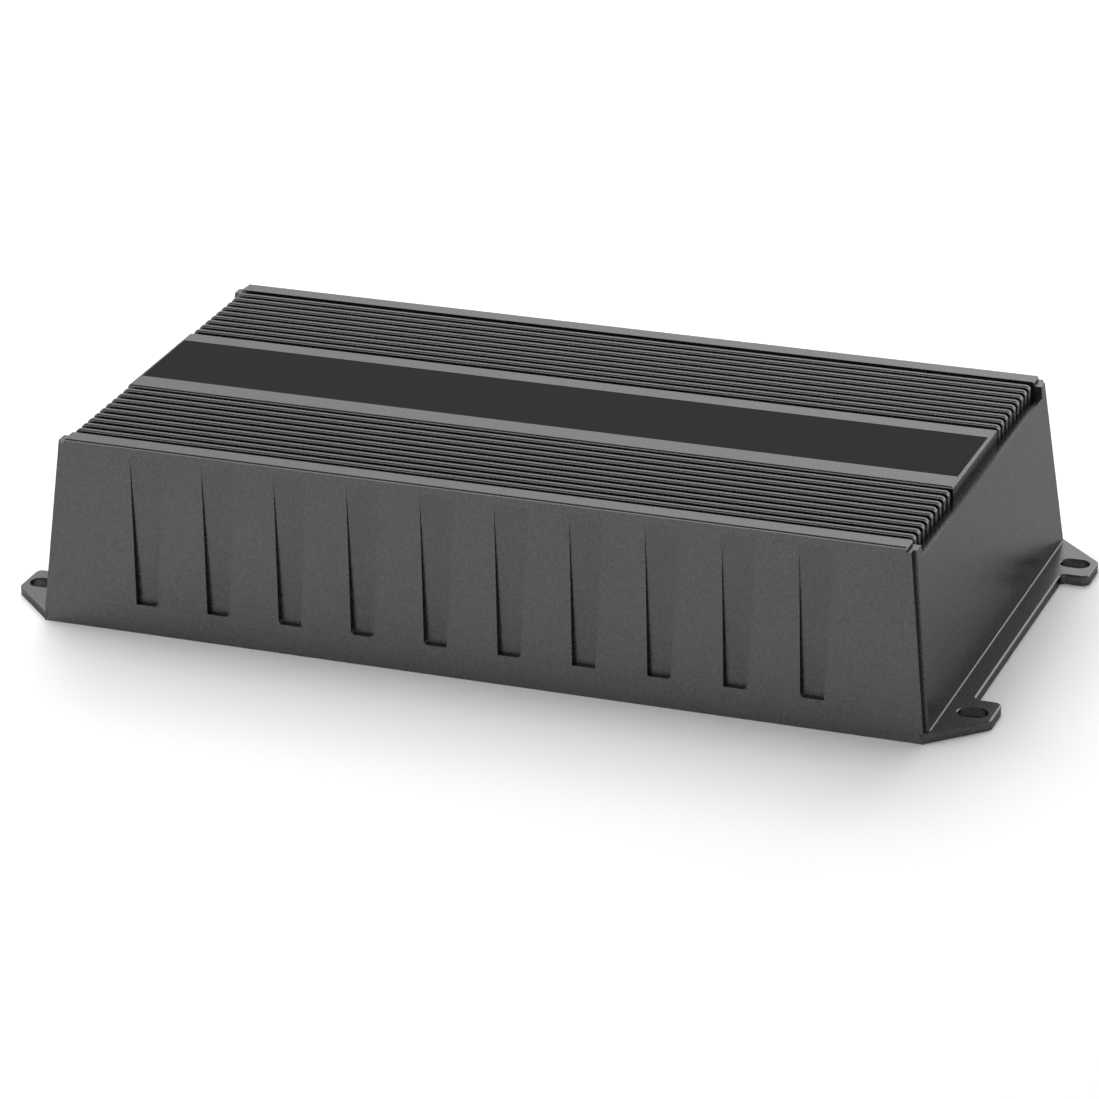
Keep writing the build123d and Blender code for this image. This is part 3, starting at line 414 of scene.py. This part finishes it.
def plus(mesh, middle, size, face):
    """A printed plus sign, its upright bar a little proud of the level one."""
    minus(mesh, middle, size, face)
    bar(mesh, middle, INK_WIDE, size, face + INK_THICK / 4)


def dot(mesh, middle, face):
    """A thin printed dot on the panel face."""
    turn = Matrix.Rotation(math.pi / 2, 4, "X")
    place = Matrix.Translation((middle[0], face + INK_THICK / 2, middle[1])) @ turn
    bmesh.ops.create_cone(
        mesh, cap_ends=True, segments=DOT_SIDES, radius1=DOT_RADIUS, radius2=DOT_RADIUS,
        depth=INK_THICK, matrix=place,
    )


def add_mesh(name, mesh):
    """Turns a bmesh into an object."""
    data = bpy.data.meshes.new(name)
    mesh.to_mesh(data)
    mesh.free()
    return add_object(name, data)


def print_marks():
    """Polarity signs over the terminals and dial dots round the knobs."""
    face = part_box("rear_panel")[1][1]
    mesh = bmesh.new()
    for knob in range(1, 5):
        x, z = middle_of(f"level_knob_{knob}")
        for number in range(DIAL_DOTS):
            angle = math.radians(DIAL_START + number * DIAL_STEP)
            along, up = DIAL_RADIUS * math.cos(angle), DIAL_RADIUS * math.sin(angle)
            dot(mesh, (x + along, z + up), face)
    sign_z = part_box("speaker_terminal_block")[1][2] + SIGN_GAP
    for pole in range(1, 9):
        sign = plus if pole % 2 else minus
        sign(mesh, (middle_of(f"speaker_clamp_screw_{pole}")[0], sign_z), SPEAKER_SIGN, face)
    plus(mesh, (middle_of("power_clamp_screw_1")[0], sign_z), POWER_SIGN, face)
    piece = add_mesh("panel_marks", mesh)
    ink = Finish("panel_ink")
    wear = ink.noise(0.6 * MM, 2.0)
    ink.set(base_color=ink.blend(wear, grey(0.5), grey(0.66)), roughness=0.5 + wear * 0.2)
    piece.data.materials.append(ink.material)
    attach(piece, "case")


# ---------------------------------------------------------------- floor and light
FLOOR_HALF, FLOOR_MOTTLE = 4.0, 0.4
SOFT_BOXES = {  # name: place, the point it faces, size in metres, power in watts
    "top_box": ((-0.7, 0.6, 1.8), (-0.1, 0, 0), 2.6, 68.0),
    "back_box": ((-0.4, 1.6, 0.9), (0, 0, 0), 1.6, 24.0),
    "fill_box": ((-1.0, -1.6, 1.0), (0, 0, 0), 1.4, 5.0),
}
# How bright the reflected surround is, by the Z and by the X of the direction
RISE_FROM, RISE_TO, HORIZON, OVERHEAD = 0.42, 0.75, 3.4, 0.27
ACROSS_FROM, ACROSS_TO, LEFT_SIDE, RIGHT_SIDE = -0.45, -0.2, 0.8, 1.15


def make_floor():
    """A plain pale floor."""
    mesh = bmesh.new()
    bmesh.ops.create_grid(mesh, x_segments=1, y_segments=1, size=FLOOR_HALF)
    floor = add_mesh("floor", mesh)
    pale = Finish("pale_floor", roughness=0.9, specular_ior_level=0.1)
    mottle = pale.noise(FLOOR_MOTTLE, 1.0)
    pale.set(base_color=pale.blend(mottle, grey(0.9), grey(0.92)))
    floor.data.materials.append(pale.material)


def soft_box(name, place, aim, size, power):
    """A square soft light that faces a point and shows in no reflection."""
    light = bpy.data.lights.new(name, "AREA")
    light.shape = "SQUARE"
    light.size = size
    light.energy = power
    lamp = add_object(name, light)
    lamp.location = place
    lamp.visible_glossy = False
    lamp.rotation_euler = (Vector(place) - Vector(aim)).to_track_quat("Z", "Y").to_euler()


def make_surround():
    """A surround seen only in reflections, bright at the horizon and dim overhead."""
    world = bpy.data.worlds.new("surround")
    bpy.context.scene.world = world
    world.use_nodes = True
    world.cycles_visibility.diffuse = False
    surround = Nodes(world.node_tree)
    x, _, z = surround.axes(GENERATED)
    across = x.ramp(ACROSS_FROM, ACROSS_TO, LEFT_SIDE, RIGHT_SIDE)
    tint = surround.node("ShaderNodeCombineColor", None, {0: across, 1: across, 2: across})[0]
    background = world.node_tree.nodes["Background"]
    surround.feed(background.inputs["Color"], tint)
    surround.feed(background.inputs["Strength"], z.step(RISE_FROM, RISE_TO, HORIZON, OVERHEAD))


def light_scene():
    """The surround for the reflections, and the soft boxes for the matt surfaces."""
    make_surround()
    for name, (place, aim, size, power) in SOFT_BOXES.items():
        soft_box(name, place, aim, size, power)
    bpy.context.scene.view_settings.view_transform = "Standard"


make_camera()
make_floor()
light_scene()
dress_nodes(make_finishes())
print_marks()
